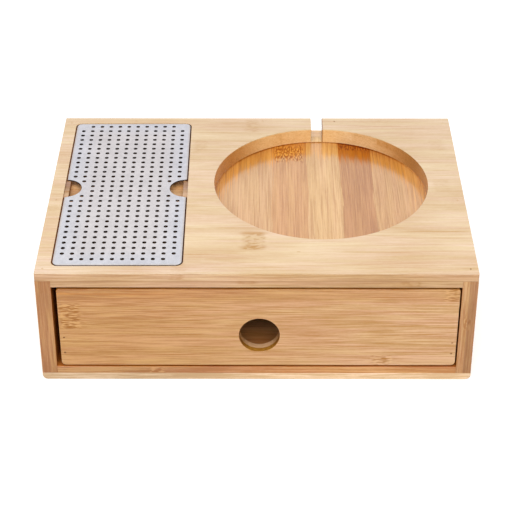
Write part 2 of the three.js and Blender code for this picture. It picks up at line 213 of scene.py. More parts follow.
class Graph:
    """A material's node tree, with arithmetic on its sockets."""

    def __init__(self, name):
        self.mat = bpy.data.materials.new(name)
        self.mat.use_nodes = True
        self.t = self.mat.node_tree
        self.t.nodes.clear()
        out = self.t.nodes.new("ShaderNodeOutputMaterial")
        self.bsdf = self.t.nodes.new("ShaderNodeBsdfPrincipled")
        self.t.links.new(self.bsdf.outputs[0], out.inputs[0])
        coord = self.t.nodes.new("ShaderNodeTexCoord")
        scale = self.t.nodes.new("ShaderNodeVectorMath")
        scale.operation = "SCALE"
        scale.inputs["Scale"].default_value = 1000.0
        self.t.links.new(coord.outputs["Object"], scale.inputs[0])
        self.p = Wire(self, scale.outputs[0])
        self.x, self.y, self.z = self.split(self.p)
        self.nx, self.ny, self.nz = self.split(Wire(self, coord.outputs["Normal"]))

    def put(self, socket, value):
        if isinstance(value, Wire):
            self.t.links.new(value.s, socket)
        else:
            socket.default_value = value

    def split(self, w):
        n = self.t.nodes.new("ShaderNodeSeparateXYZ")
        self.put(n.inputs[0], w)
        return [Wire(self, n.outputs[i]) for i in range(3)]

    def math(self, op, a, b=None, c=None, clamp=False):
        n = self.t.nodes.new("ShaderNodeMath")
        n.operation, n.use_clamp = op, clamp
        for i, v in enumerate((a, b, c)):
            if v is not None:
                self.put(n.inputs[i], v)
        return Wire(self, n.outputs[0])

    def vec(self, x, y, z):
        n = self.t.nodes.new("ShaderNodeCombineXYZ")
        for i, v in enumerate((x, y, z)):
            self.put(n.inputs[i], v)
        return Wire(self, n.outputs[0])

    def noise(self, vector, detail=2.0, rough=0.5, distortion=0.0):
        n = self.t.nodes.new("ShaderNodeTexNoise")
        n.noise_dimensions = "3D"
        self.put(n.inputs["Vector"], vector)
        n.inputs["Scale"].default_value = 1.0
        n.inputs["Detail"].default_value = detail
        n.inputs["Roughness"].default_value = rough
        n.inputs["Distortion"].default_value = distortion
        return Wire(self, n.outputs[0])

    def white(self, w):
        n = self.t.nodes.new("ShaderNodeTexWhiteNoise")
        n.noise_dimensions = "1D"
        self.put(n.inputs["W"], w)
        return Wire(self, n.outputs["Value"])

    def smooth(self, lo, hi, x, to0=0.0, to1=1.0):
        n = self.t.nodes.new("ShaderNodeMapRange")
        n.interpolation_type = "SMOOTHSTEP"
        self.put(n.inputs["Value"], x)
        n.inputs["From Min"].default_value, n.inputs["From Max"].default_value = lo, hi
        n.inputs["To Min"].default_value, n.inputs["To Max"].default_value = to0, to1
        return Wire(self, n.outputs[0])

    def steps(self, x, lo, hi, stops):
        """A staircase: the value of the last stop at or below x."""
        n = self.t.nodes.new("ShaderNodeMapRange")
        self.put(n.inputs["Value"], x)
        n.inputs["From Min"].default_value, n.inputs["From Max"].default_value = lo, hi
        r = self.t.nodes.new("ShaderNodeValToRGB")
        r.color_ramp.interpolation = "CONSTANT"
        e = r.color_ramp.elements
        while len(e) < len(stops):
            e.new(1.0)
        for i, (pos, v) in enumerate(stops):
            e[i].position = min(1.0, max(0.0, (pos - lo) / (hi - lo)))
            e[i].color = (v, v, v, 1.0)
        self.t.links.new(n.outputs[0], r.inputs[0])
        return Wire(self, r.outputs[0])

    def tints(self, x, lo, hi, stops):
        """A staircase of colours."""
        r = self.steps(x, lo, hi, [(pos, 0.0) for pos, _ in stops]).s.node
        for e, (_, c) in zip(r.color_ramp.elements, stops):
            e.color = (*c, 1.0)
        return Wire(self, r.outputs[0])

    def ramp(self, f, shades):
        """Evenly spaced colours along 0..1."""
        r = self.t.nodes.new("ShaderNodeValToRGB")
        e = r.color_ramp.elements
        while len(e) < len(shades):
            e.new(1.0)
        for i, c in enumerate(shades):
            e[i].position = i / (len(shades) - 1)
            e[i].color = (*c, 1.0)
        self.put(r.inputs[0], f)
        return Wire(self, r.outputs[0])

    def mix(self, f, a, b, blend="MIX"):
        n = self.t.nodes.new("ShaderNodeMix")
        n.data_type, n.blend_type = "RGBA", blend
        self.put(n.inputs[0], f)
        self.put(n.inputs[6], a)
        self.put(n.inputs[7], b)
        return Wire(self, n.outputs[2])

    def shader(self, colour=None, rough=None, bump=None, depth=0.05, **constants):
        if colour is not None:
            self.put(self.bsdf.inputs["Base Color"], colour)
        if rough is not None:
            self.put(self.bsdf.inputs["Roughness"], rough)
        if bump is not None:
            n = self.t.nodes.new("ShaderNodeBump")
            n.inputs["Strength"].default_value = 1.0
            n.inputs["Distance"].default_value = depth * MM
            self.put(n.inputs["Height"], bump)
            self.t.links.new(n.outputs[0], self.bsdf.inputs["Normal"])
        for k, v in constants.items():
            self.bsdf.inputs[k.replace("_", " ")].default_value = v
        return self.mat


def bamboo(name, grain, across, strip0, strip_w, mid, seed=0.0, spread=1.0, mix=(0.6, 0.8, 0.7, 0.5, 0.4), lines=1.0, length=1.0, strip_var=0.3, tones=None, nodes=(), streaks=(), hashed=0.0,
           dark=(0.8, 0.65, 0.38), light=(1.2, 1.34, 1.6), hue_var=1.0, end=(0.74, 0.62, 0.48), coat=1.0, coat_rough=0.17, coat_ior=1.5, gloss=0.5, rough=0.42, node_tint=(0.68, 0.5, 0.3), node_pale=(1.25, 1.4, 1.5), node_grain=(0.16, 0.65), node_mix=(0.7, 0.6), node_base=0.1,
           tilt=0.0, finish=None):
    """Laminated bamboo: fibres along one axis, glued strips across another. mid is its base colour, and dark and light
    are the factors of its darkest and lightest fibres. mix: share of the hairline, fine, soft, wide and broad figure.
    tones: (position, tone) steps across the strips. nodes: (along, across, half length, half width, strength), and the
    place and half size in the depth if it has one. lines: strength of single dark and pale fibres. length: of the figure. streaks: (along, across, half length, half width, tone) of single dark or
    pale fibre bundles. node_tint, node_pale: factors of the dark and the pale dashes in a node, node_grain: their fineness
    along and across, node_mix: their strength, node_base: how dark the wood between them is.
    tilt: slope of single strips along the grain. hashed: strength of the culm nodes that every strip has at its own place. finish: changes the colour by place."""
    g = Graph(name)
    axes = {"x": (g.x, g.nx), "y": (g.y, g.ny), "z": (g.z, g.nz)}
    u, nu = axes[grain]
    v, nv = axes[across]
    w, nw = axes[({"x", "y", "z"} - {grain, across}).pop()]
    # strips
    s = (v - strip0) / strip_w
    index = g.math("FLOOR", s)
    h1, h2 = g.white(index * 1.733 + seed), g.white(index * 1.733 + seed + 31.7)
    inside = g.math("FRACT", s)
    seam_mm = g.math("MINIMUM", inside, 1.0 - inside) * strip_w
    # fibres, long along the grain and fine across it, never quite straight
    bend = (g.noise(g.vec(u * 0.007 + seed, v * 0.03, w * 0.03), 1.0, 0.5) - 0.5) * 3.5
    us, vs = (u + h1 * 300.0) / length, v + h2 * 40.0 + bend
    hair = g.noise(g.vec(us * 0.045, vs * 1.7, w * 1.7), 2.0, 0.6)
    fine = g.noise(g.vec(us * 0.024, vs * 0.85, w * 0.85), 2.0, 0.5)
    soft = g.noise(g.vec(us * 0.016, vs * 0.38, w * 0.38 + seed), 2.0, 0.5)
    band = g.noise(g.vec(us * 0.014, vs * 0.13, w * 0.13 + seed), 1.5, 0.5)
    fleck = g.noise(g.vec(us * 0.3, vs * 0.9, w * 0.9), 1.0, 0.5)
    broad = g.noise(g.vec(u * 0.012 + seed, v * 0.03, w * 0.03), 1.5, 0.5)
    dark_line = g.smooth(0.58, 0.70, g.noise(g.vec(us * 0.016 + 40.0, vs * 0.6, w * 0.6), 1.5, 0.5))
    pale_line = g.smooth(0.58, 0.70, g.noise(g.vec(us * 0.018 + 90.0, vs * 0.62, w * 0.62), 1.5, 0.5))
    dash = g.smooth(0.60, 0.72, g.noise(g.vec(us * 0.05 + 7.0, vs * 0.8, w * 0.8), 1.0, 0.5))
    seam = (1.0 - g.smooth(0.1, 0.7, seam_mm)) * (0.2 + 0.8 * h2)
    tone = ((hair - 0.5) * mix[0] + (fine - 0.5) * mix[1] + (soft - 0.5) * mix[2] + (band - 0.5) * mix[3] + (broad - 0.5) * mix[4] + (fleck - 0.5) * 0.22
            - dark_line * 0.22 * lines + pale_line * 0.15 * lines - dash * 0.12 * lines - seam * 0.14) * spread + 0.52
    if tones:
        tone = tone + (g.steps(v, tones[0][0], tones[-1][0] + 1.0, tones) - 0.5)
    else:
        tone = tone + (h1 - 0.5) * strip_var
    for s_u, s_v, half_u, half_v, k in streaks:
        du = g.math("ABSOLUTE", (u - s_u) / half_u)
        dv = g.math("ABSOLUTE", (v - s_v + bend * 0.3) / half_v)
        tone = tone + (1.0 - g.smooth(0.1, 1.0, du)) * (1.0 - g.smooth(0.1, 1.0, dv)) * (0.45 + fine * 1.1) * k
    shades = [tuple(m * k for m, k in zip(mid, f)) for f in (dark, (1.0, 1.0, 1.0), light)]
    colour = g.ramp(tone, shades)
    hue = g.smooth(0.36, 0.64, g.noise(g.vec(us * 0.013, vs * 0.15, w * 0.15 + seed * 3.0), 2.0, 0.5))
    pink = (1.0 + 0.01 * hue_var, 1.0 - 0.018 * hue_var, 1.0 + 0.015 * hue_var, 1.0)
    gold = (1.0 - 0.01 * hue_var, 1.0, 1.0 - 0.09 * hue_var, 1.0)
    colour = g.mix(1.0, colour, g.mix(hue, pink, gold), "MULTIPLY")
    # culm nodes: short dark and pale dashes across one strip
    wob = g.noise(g.vec(u * 0.12, v * 0.3, w * 0.3), 1.5, 0.5) - 0.5
    spots = g.noise(g.vec(u * node_grain[0] + 3.0, v * node_grain[1], w * node_grain[1]), 1.5, 0.55)
    marks = []
    for n_u, n_v, half_u, half_v, strength, *deep in nodes:
        du = g.math("ABSOLUTE", (u - n_u) / half_u + wob * 1.0)
        dv = g.math("ABSOLUTE", (v - n_v) / half_v)
        mark = (1.0 - g.smooth(0.55, 1.1, du)) * (1.0 - g.smooth(0.82, 1.02, dv)) * strength
        if deep:
            mark = mark * (1.0 - g.smooth(0.8, 1.02, g.math("ABSOLUTE", (w - deep[0]) / deep[1])))
        marks.append(mark)
    if hashed:
        q = g.math("ABSOLUTE", (g.math("FRACT", u / 285.0 + h2 * 3.7) - 0.5) * (285.0 / 9.0) + wob * 1.4)
        marks.append((1.0 - g.smooth(0.55, 1.1, q)) * g.smooth(0.3, 2.0, seam_mm) * hashed)
    mask, bare = None, None
    for m in marks:
        mask = m if mask is None else g.math("MAXIMUM", mask, m)
    if mask is not None:
        node_dark = tuple(m * k for m, k in zip(mid, node_tint)) + (1.0,)
        node_pale = tuple(m * k for m, k in zip(mid, node_pale)) + (1.0,)
        bare = mask * (g.smooth(0.50, 0.60, spots) * (1.0 - node_base) + node_base)
        colour = g.mix(bare * node_mix[0], colour, node_dark)
        bare = bare * 0.6
        colour = g.mix(mask * (1.0 - g.smooth(0.42, 0.50, spots)) * node_mix[1], colour, node_pale)
    fields = dict(tone=tone, fine=fine, soft=soft, u=u, v=v, w=w, nu=nu, nv=nv, nw=nw)
    if finish:
        colour = finish(g, fields, colour)
        if "bare" in fields:
            bare = fields["bare"] if bare is None else g.math("MAXIMUM", bare, fields["bare"])
    if coat and bare is not None:
        g.put(g.bsdf.inputs["Coat Weight"], (1.0 - bare) * coat)
    # end of the grain
    pores = g.noise(g.vec(v * 1.3, w * 1.3, u * 0.3), 2.0, 0.6)
    ends = g.smooth(0.45, 0.95, g.math("ABSOLUTE", nu))
    cut = g.mix(g.smooth(0.35, 0.65, pores), tuple(k * 0.88 for k in end) + (1.0,), tuple(k * 1.12 for k in end) + (1.0,))
    colour = g.mix(ends, colour, cut, "MULTIPLY")
    roughness = rough + (fine - 0.5) * 0.16 + (broad - 0.5) * 0.1
    bump = hair * 0.5 + fine * 0.3 + soft * 0.3 - seam * 0.5 - dash * 0.3
    if tilt:
        bump = bump + u * (h1 - 0.5) * (tilt / 0.03)
    return g.shader(colour, roughness, bump, 0.03, IOR=1.5, Specular_IOR_Level=gloss, Coat_Roughness=coat_rough, Coat_IOR=coat_ior, **({} if coat and bare is not None else {"Coat_Weight": coat}))


def band_mask(g, x, lo, hi, soft=0.15):
    """1 between two levels."""
    return g.smooth(lo - soft, lo + soft, x) * (1.0 - g.smooth(hi - soft, hi + soft, x))


# ------------------------------------------------------------------ materials
rx0, rx1, ry0, ry1 = GX0 - GAP - 0.15, GX1 + GAP + 0.1, GY0 - GAP - 0.5, GY1 + GAP_BACK     # recess of the grate


def finish_top(g, f, colour):
    # wall of the round recess: warm cut edge, darker where the grain ends, with painted light and shade: paler at the
    # back and the left end, darker on the right
    r = g.math("SQRT", (g.x - RX) * (g.x - RX) + (g.y - RY) * (g.y - RY))
    wall = (1.0 - g.smooth(RR + 0.3, RR + 1.0, r)) * (1.0 - g.smooth(0.25, 0.75, g.math("ABSOLUTE", g.nz)))
    warm = g.ramp(f["tone"], [(0.68, 0.38, 0.12), (0.85, 0.53, 0.22), (0.92, 0.64, 0.31)])
    cells = g.noise(g.vec(g.x * 0.55, g.y * 0.55, g.z * 1.1), 2.5, 0.6)
    warm = g.mix(1.0, warm, g.ramp(g.smooth(0.3, 0.7, cells), [(0.93, 0.9, 0.84), (1.0, 1.0, 1.0), (1.05, 1.07, 1.12)]), "MULTIPLY")
    knot = g.smooth(107.0, 108.0, g.x) * (1.0 - g.smooth(120.0, 132.0, g.x)) * g.smooth(60.0, 70.0, g.y) * (0.3 + 0.7 * g.smooth(96.5, 98.5, g.z))
    warm = g.mix(knot * (0.5 + 0.5 * g.smooth(0.4, 0.6, f["fine"])), warm, (0.84, 0.72, 0.52, 1.0), "MULTIPLY")
    # painted light on the back of the wall and on its left end, painted shade on its right part
    warm = g.mix(g.smooth(60.0, 90.0, g.x) * g.smooth(40.0, 70.0, g.y), warm, (1.0, 1.05, 1.2, 1.0), "MULTIPLY")
    warm = g.mix(g.smooth(120.0, 140.0, g.x), warm, (0.79, 0.81, 0.71, 1.0), "MULTIPLY")
    warm = g.mix(1.0 - g.smooth(-30.0, 0.0, g.x), warm, (1.06, 1.04, 1.0, 1.0), "MULTIPLY")
    colour = g.mix(wall, colour, warm)
    colour = g.mix((1.0 - g.smooth(-60.0, 20.0, g.x)) * (1.0 - g.smooth(-115.0, -95.0, g.y)), colour, (1.0, 1.0, 1.12, 1.0), "MULTIPLY")
    # glue line between the plies in the edges
    edge = (1.0 - g.smooth(0.3, 0.7, g.math("ABSOLUTE", g.nz))) * (1.0 - wall)
    colour = g.mix(edge, colour, g.ramp(g.smooth(0.3, 0.7, f["fine"]), [(0.745, 0.60, 0.43), (0.86, 0.72, 0.555), (0.94, 0.82, 0.66)]), "MULTIPLY")
    colour = g.mix(edge * (1.0 - g.smooth(SIDE_TOP - 0.2, SIDE_TOP + 0.2, g.z)), colour, (0.94, 0.91, 0.88, 1.0), "MULTIPLY")
    colour = g.mix(edge * band_mask(g, g.z, SIDE_TOP - 0.45, SIDE_TOP + 0.45) * 0.6, colour, (0.30, 0.14, 0.04, 1.0))
    # walls of the slot and its eased right edge, darkened: end grain, and painted shade in the narrow slot
    behind = g.smooth(RY + RR - 1.0, RY + RR, g.y)
    slot = (1.0 - g.smooth(SLOT_W / 2 + 0.3, SLOT_W / 2 + 0.5, g.math("ABSOLUTE", g.x - RX))) * edge * (1.0 - g.smooth(0.6, 0.9, g.math("ABSOLUTE", g.ny)))
    slot = g.math("MAXIMUM", slot, band_mask(g, g.x, RX, RX + SLOT_R + 1.0, 0.1))
    colour = g.mix(slot * behind, colour, g.mix(g.smooth(RX - 0.5, RX + 0.5, g.x), (0.8, 0.66, 0.5, 1.0), (0.58, 0.46, 0.35, 1.0)), "MULTIPLY")
    return colour


def finish_ledge(g, f, colour):
    # bare wood under the grate with painted light and shade: painted shade on the well floor and the ledge under the
    # plate, painted light on the well floor below the finger notches, painted shade towards the back of the ledge in
    # the notches, and painted shadow in the gap around the plate
    cx, cy, c, k = (GX0 + GX1) / 2, (GY0 + GY1) / 2, math.cos(ASKEW), math.sin(ASKEW)
    x, y = (g.x - cx) * c + (g.y - cy) * k + cx, (g.y - cy) * c - (g.x - cx) * k + cy
    notch = 1.0 - g.smooth(NOTCH_R - 1.5, NOTCH_R - 0.5, g.math("ABSOLUTE", y - NOTCH_Y))
    deep = 1.0 - g.smooth(GZ0 - 0.3, GZ0 - 0.1, g.z)
    reach = g.math("MINIMUM", x - GX0, GX1 - x)
    notch_light = 1.0 - g.smooth(NOTCH_R - 1.0, NOTCH_R + 14.0, g.math("SQRT", reach * reach + (y - NOTCH_Y - 4.0) * (y - NOTCH_Y - 4.0)))
    colour = g.mix(deep, colour, g.mix(notch_light, (0.42, 0.36, 0.33, 1.0), g.mix(g.smooth(6.0, 17.0, y), (0.84, 0.74, 0.8, 1.0), (1.25, 1.1, 1.1, 1.0))), "MULTIPLY")
    wall = g.math("MINIMUM", g.math("MINIMUM", x - rx0, rx1 - x), y - ry0)
    gap_shadow = (1.0 - deep) * (1.0 - notch) * (1.0 - g.smooth(1.5, 2.2, wall))
    colour = g.mix((1.0 - deep) * notch, colour, g.mix(g.smooth(-9.0, 9.0, y), (0.9, 0.93, 1.25, 1.0), (0.58, 0.56, 0.82, 1.0)), "MULTIPLY")
    colour = g.mix((1.0 - deep) * (1.0 - notch), colour, (0.75, 0.66, 0.56, 1.0), "MULTIPLY")
    return g.mix(gap_shadow, colour, g.mix(g.smooth(cx - 5.0, cx + 5.0, x), (0.41, 0.26, 0.14, 1.0), (0.17, 0.085, 0.035, 1.0)), "MULTIPLY")


top_strips = dict(strip0=127.5 - 27.7 * 10, strip_w=27.7)
bamboo_top = bamboo(
    "bamboo_top", "x", "y", **top_strips, mid=(0.548, 0.374, 0.208), gloss=0.1, seed=3.0, spread=1.05, mix=(0.6, 0.5, 0.4, 0.42, 0.9), lines=0.55, strip_var=0.1, hue_var=1.0, end=(0.62, 0.43, 0.25), node_tint=(0.66, 0.48, 0.2), node_pale=(1.06, 1.08, 1.05), node_grain=(0.2, 0.5), node_mix=(0.6, 0.4), node_base=0.45,
    streaks=[(146.0, -65.6, 42.0, 1.3, -0.6), (100.0, -95.7, 40.0, 1.2, -0.45), (33.7, -95.4, 2.2, 0.8, -0.9), (160.0, -75.0, 22.0, 1.0, -0.4), (168.0, -31.0, 16.0, 1.0, -0.35),
             (-3.0, -68.0, 15.0, 3.6, -0.8), (-3.7, -89.5, 13.0, 4.4, -0.8), (18.0, -84.0, 24.0, 7.0, -0.25), (-5.0, -84.0, 5.0, 1.6, -0.4), (-20.0, -60.0, 30.0, 1.4, -0.3), (158.0, 33.0, 14.0, 1.0, -0.35), (110.0, 112.0, 30.0, 1.2, -0.3), (-30.0, 100.0, 34.0, 1.0, -0.3), (-50.0, -100.0, 40.0, 1.2, -0.25)],
    nodes=[(-2.0, -80.3, 10.0, 13.4, 1.0), (-4.7, 112.5, 7.0, 13.0, 0.55), (-61.7, -118.0, 7.0, 6.5, 0.5), (160.0, 78.0, 7.0, 11.0, 0.35), (158.0, 8.0, 8.0, 11.0, 0.35),
           (-171.0, -33.0, 6.0, 10.0, 0.35), (-50.1, 75.0, 7.0, 11.0, 0.45), (120.7, -127.5, 9.0, 1.0, 0.7, 94.6, 2.6), (-62.4, -127.5, 7.0, 1.0, 0.7, 101.0, 2.6), (-7.2, -127.5, 9.0, 1.0, 0.6, 96.0, 2.0)],
    finish=finish_top)

bamboo_ledge = bamboo("bamboo_ledge", "x", "y", **top_strips, mid=(0.56, 0.35, 0.16), seed=3.0, spread=1.2, mix=(0.5, 0.55, 0.45, 0.75, 1.2), coat=0.0, gloss=0.1, rough=0.6, finish=finish_ledge)


def finish_floor(g, f, colour):
    # strips of their own shade
    strips = (-176.0, -45.2, -15.9, 13.4, 42.7, 72.0, 101.3, 130.6, 159.9)
    shade = [(1.0, 1.0, 1.0), (1.05, 1.1, 1.3), (1.08, 1.14, 1.38), (1.03, 0.96, 0.97), (1.16, 1.28, 1.51), (0.86, 0.73, 0.69), (1.01, 1.0, 1.07), (1.08, 1.06, 1.08), (1.0, 1.0, 1.0)]
    colour = g.mix(1.0, colour, g.tints(g.x + (f["fine"] - 0.5) * 7.0 + (f["soft"] - 0.5) * 8.0, -176.0, 176.0, list(zip(strips, shade))), "MULTIPLY")
    colour = g.mix(1.0 - g.smooth(-50.0, -15.0, g.y), colour, (0.955, 0.96, 0.97, 1.0), "MULTIPLY")
    f["bare"] = band_mask(g, g.x, 72.0, 101.3, 0.3) * (0.08 + 0.5 * g.smooth(60.0, 84.0, g.y))
    # pale bare floor of the slot: painted light standing in for the light and reflected backdrop that reach it
    slot = band_mask(g, g.x, RX - 6.5, RX + 6.5, 0.3) * g.smooth(RY + RR - 0.5, RY + RR + 0.5, g.y)
    colour = g.mix(slot, colour, g.ramp(f["tone"], [(0.66, 0.34, 0.09), (0.76, 0.44, 0.14), (0.84, 0.53, 0.20)]))
    # dark joint line at the back panel, deepened on the left as painted shade from the slot's left wall
    colour = g.mix(slot * band_mask(g, g.y, BACK_Y0 - 0.7, BACK_Y0 + 0.2, 0.1) * (1.0 - 0.7 * g.smooth(50.0, 57.0, g.x)), colour, (0.55, 0.42, 0.32, 1.0), "MULTIPLY")
    # painted reflection of the back wall in the lacquer: an amber crescent below the wall, with fibrous edges along the
    # fibres
    r = g.math("SQRT", (g.x - RX) * (g.x - RX) + (g.y - RY) * (g.y - RY))
    ahead = g.y + (22.5 - RY)
    reach = g.math("SQRT", (g.x - RX) * (g.x - RX) + ahead * ahead) + (g.smooth(0.34, 0.66, f["fine"]) - 0.5) * 13.0 + (f["soft"] - 0.5) * 20.0
    wall_reflection_tints = [(1.0, 1.0, 1.0), (1.1, 0.86, 0.4), (1.1, 0.87, 0.4), (1.16, 0.93, 0.38), (1.13, 0.97, 0.62), (0.97, 0.62, 0.1), (1.08, 0.86, 0.42), (1.17, 1.05, 0.74), (1.0, 1.0, 1.0)]
    colour = g.mix(g.smooth(RR - 8.0, RR + 5.0, reach) * (1.0 - slot), colour, g.tints(g.x, -176.0, 176.0, list(zip(strips, wall_reflection_tints))), "MULTIPLY")
    # painted shade along the foot of the wall, wider at the back
    side = 0.3 + 0.7 * g.smooth(68.0, 78.0, g.x) + 0.5 * (1.0 - g.smooth(0.0, 30.0, g.x))
    wall_foot_shade = (1.0 - g.smooth(RR, RR + 0.5, r)) * g.math("MINIMUM", side, 1.0) * (1.0 - 0.6 * g.smooth(115.0, 130.0, g.x))
    colour = g.mix(g.smooth(RR - 2.4, RR - 0.4, r) * wall_foot_shade, colour, (0.82, 0.68, 0.5, 1.0), "MULTIPLY")
    return g.mix(g.smooth(RR - 12.0, RR - 2.0, r) * wall_foot_shade * g.smooth(60.0, 90.0, g.y) * 0.8, colour, (0.82, 0.72, 0.6, 1.0), "MULTIPLY")


bamboo_floor = bamboo(
    "bamboo_floor", "y", "x", strip0=72.0 - 29.3 * 9, strip_w=29.3, mid=(0.474, 0.247, 0.083), seed=11.0, spread=1.8, dark=(0.81, 0.72, 0.6), light=(1.14, 1.22, 1.35), hue_var=0.6, node_tint=(0.55, 0.34, 0.12), node_pale=(1.35, 1.5, 1.5), node_grain=(0.22, 0.95), node_mix=(0.95, 0.8), node_base=0.42, tilt=0.02, mix=(0.9, 1.1, 0.5, 0.4, 0.4), lines=0.9, length=1.5,
    coat_ior=1.6, coat_rough=0.2, gloss=0.0,
    tones=[(-170.0, 0.5), (-133.0, 0.35), (-104.0, 0.6), (-75.0, 0.4), (-45.2, 0.5), (-15.9, 0.52), (13.4, 0.5), (42.7, 0.55), (72.0, 0.47), (101.3, 0.5),
           (130.6, 0.5), (159.9, 0.45)],
    nodes=[(86.0, 28.4, 16.0, 13.8, 1.0), (98.0, 87.0, 8.0, 14.0, 1.0), (-70.0, -118.0, 9.0, 13.8, 0.7), (60.0, -89.0, 9.0, 13.8, 0.7)], finish=finish_floor)


def finish_front(g, f, colour):
    # cut wall of the finger hole: olive outer ply, pale inner ply
    r = g.math("SQRT", (g.x - FINGER_X) * (g.x - FINGER_X) + (g.z - FINGER_Z) * (g.z - FINGER_Z))
    wall = (1.0 - g.smooth(FINGER_R + 0.3, FINGER_R + 0.9, r)) * (1.0 - g.smooth(0.25, 0.75, g.math("ABSOLUTE", g.ny)))
    inner = g.smooth(-122.6, -122.0, g.y)
    colour = g.mix(wall * (1.0 - inner), colour, g.ramp(f["tone"], [(0.29, 0.12, 0.012), (0.39, 0.165, 0.018), (0.47, 0.215, 0.03)]))
    colour = g.mix(wall * inner, colour, g.ramp(f["tone"], [(0.62, 0.345, 0.16), (0.71, 0.42, 0.205), (0.78, 0.49, 0.255)]))
    # paler towards the right and darker to the left: painted light falling from the right
    colour = g.mix(g.smooth(-150.0, 130.0, g.x), g.mix(1.0, colour, (0.90, 0.84, 0.66, 1.0), "MULTIPLY"), g.mix(1.0, colour, (1.035, 1.11, 1.38, 1.0), "MULTIPLY"))
    # the top strip is a warmer one
    colour = g.mix(g.smooth(75.0, 81.0, g.z), colour, (0.90, 0.81, 0.60, 1.0), "MULTIPLY")
    gold = (1.0 - g.smooth(-130.0, -40.0, g.x)) * g.smooth(0.42, 0.6, f["soft"])
    colour = g.mix(gold * band_mask(g, g.z, 83.5, 88.6, 0.8), colour, (1.05, 0.92, 0.5, 1.0), "MULTIPLY")
    # sawn edges around the front, bare
    rim = g.smooth(0.75, 0.95, g.math("ABSOLUTE", g.nz)) * g.smooth(FRONT_Z1 - 2.0, FRONT_Z1 - 0.5, g.z)
    rim = g.math("MAXIMUM", rim, g.smooth(0.75, 0.95, g.math("ABSOLUTE", g.nx)) * g.smooth(150.0, 155.0, g.math("ABSOLUTE", g.x)))
    f["bare"] = rim
    return g.mix(rim, colour, (0.96, 0.84, 0.64, 1.0), "MULTIPLY")


bamboo_front = bamboo(
    "bamboo_front", "x", "z", strip0=24.8 - 26.4 * 2, strip_w=26.4, mid=(0.474, 0.24, 0.083), gloss=0.1, seed=23.0, node_tint=(0.62, 0.44, 0.08), node_pale=(1.3, 1.46, 1.6), node_grain=(0.15, 0.9), node_mix=(0.85, 0.8), spread=1.6, dark=(0.82, 0.7, 0.36), mix=(1.3, 1.35, 0.45, 0.2, 0.4), lines=0.6, hue_var=1.3,
    streaks=[(-102.7, 74.9, 18.0, 1.3, -0.5), (-78.7, 24.8, 30.0, 0.8, -0.45), (-146.8, 38.8, 20.0, 0.8, -0.35), (77.4, 68.3, 35.0, 1.0, -0.4), (54.1, 58.9, 30.0, 0.9, -0.35), (106.8, 44.3, 30.0, 0.9, -0.35), (-110.0, 84.5, 50.0, 2.0, -0.3), (-90.0, 87.5, 85.0, 1.6, 0.15)],
    tones=[(-28.0, 0.5), (-1.6, 0.5), (12.0, 0.68), (24.8, 0.55), (51.2, 0.48), (77.6, 0.46), (100.0, 0.5)],
    nodes=[(-148.3, 63.4, 9.5, 13.2, 1.0), (154.5, 84.0, 6.5, 6.5, 0.9), (101.9, 19.8, 9.5, 5.2, 0.8)], finish=finish_front)


def finish_side(g, f, colour):
    # two plies in the thickness
    split = g.math("ABSOLUTE", g.x) - 168.6
    edge = 1.0 - g.smooth(0.3, 0.7, g.math("ABSOLUTE", g.nx))
    right = g.smooth(-1.0, 1.0, g.x)
    colour = g.mix(edge * right * (1.0 - g.smooth(-0.3, 0.3, split)) * 0.9, colour, (1.18, 1.36, 1.75, 1.0), "MULTIPLY")
    colour = g.mix(edge * band_mask(g, split, -0.25, 0.25) * (0.25 + 0.4 * right), colour, (0.24, 0.10, 0.03, 1.0))
    colour = g.mix(edge * right * g.smooth(0.2, 0.4, split), colour, (0.84, 0.81, 0.76, 1.0), "MULTIPLY")
    colour = g.mix(edge * (1.0 - right), colour, (0.95, 0.93, 0.86, 1.0), "MULTIPLY")
    face = g.smooth(0.5, 0.9, g.math("ABSOLUTE", g.nx)) * g.smooth(X - 1.5, X - 0.5, g.math("ABSOLUTE", g.x))
    colour = g.mix(face, colour, (1.26, 1.4, 1.65, 1.0), "MULTIPLY")
    # unlacquered inner face, also darkened as painted shade in the gap beside the drawer
    raw = 1.0 - g.smooth(INNER_X + 0.1, INNER_X + 0.5, g.math("ABSOLUTE", g.x))
    f["bare"] = raw * g.smooth(0.6, 0.9, g.math("ABSOLUTE", g.nx))
    return g.mix(f["bare"], colour, (0.95, 0.7, 0.4, 1.0), "MULTIPLY")


bamboo_side = bamboo(
    "bamboo_side", "z", "y", strip0=-127.5, strip_w=28.3, mid=(0.372, 0.163, 0.043), seed=37.0, spread=1.6, mix=(0.7, 1.0, 0.6, 0.5, 0.9), gloss=0.1, hue_var=1.3, length=0.7, hashed=0.55,
    nodes=[(55.4, -127.5, 7.0, 1.0, 0.8, 168.4, 3.2)], finish=finish_side)


def finish_back(g, f, colour):
    # paler top edge: painted light standing in for the light and reflected backdrop in the cord slot
    return g.mix(g.smooth(0.7, 0.9, g.nz), colour, (1.5, 1.5, 1.25, 1.0), "MULTIPLY")


bamboo_back = bamboo(
    "bamboo_back", "x", "z", strip0=12.75, strip_w=26.2, mid=(0.50, 0.28, 0.11), seed=41.0, spread=1.5, hashed=0.6, finish=finish_back)


def finish_bottom(g, f, colour):
    # pale lower ply under a darker one
    lower = 1.0 - g.smooth(BOTTOM_PLY - 0.15, BOTTOM_PLY + 0.15, g.z)
    colour = g.mix(lower, colour, g.ramp(f["tone"], [(0.58, 0.37, 0.18), (0.73, 0.51, 0.31), (0.83, 0.62, 0.42)]))
    # the front is darker towards the left as painted shade, with light falling from the right
    left = (1.0 - g.smooth(-90.0, 40.0, g.x)) * g.smooth(0.5, 0.9, -g.ny)
    # the top face, seen in the gap under the drawer front, is unlacquered and darkened as painted shade
    f["bare"] = g.smooth(BOTTOM_T - 0.2, BOTTOM_T - 0.05, g.z) * g.smooth(0.8, 0.95, g.nz)
    colour = g.mix(f["bare"], colour, (0.9, 0.62, 0.3, 1.0), "MULTIPLY")
    return g.mix(left, colour, (0.76, 0.74, 0.70, 1.0), "MULTIPLY")


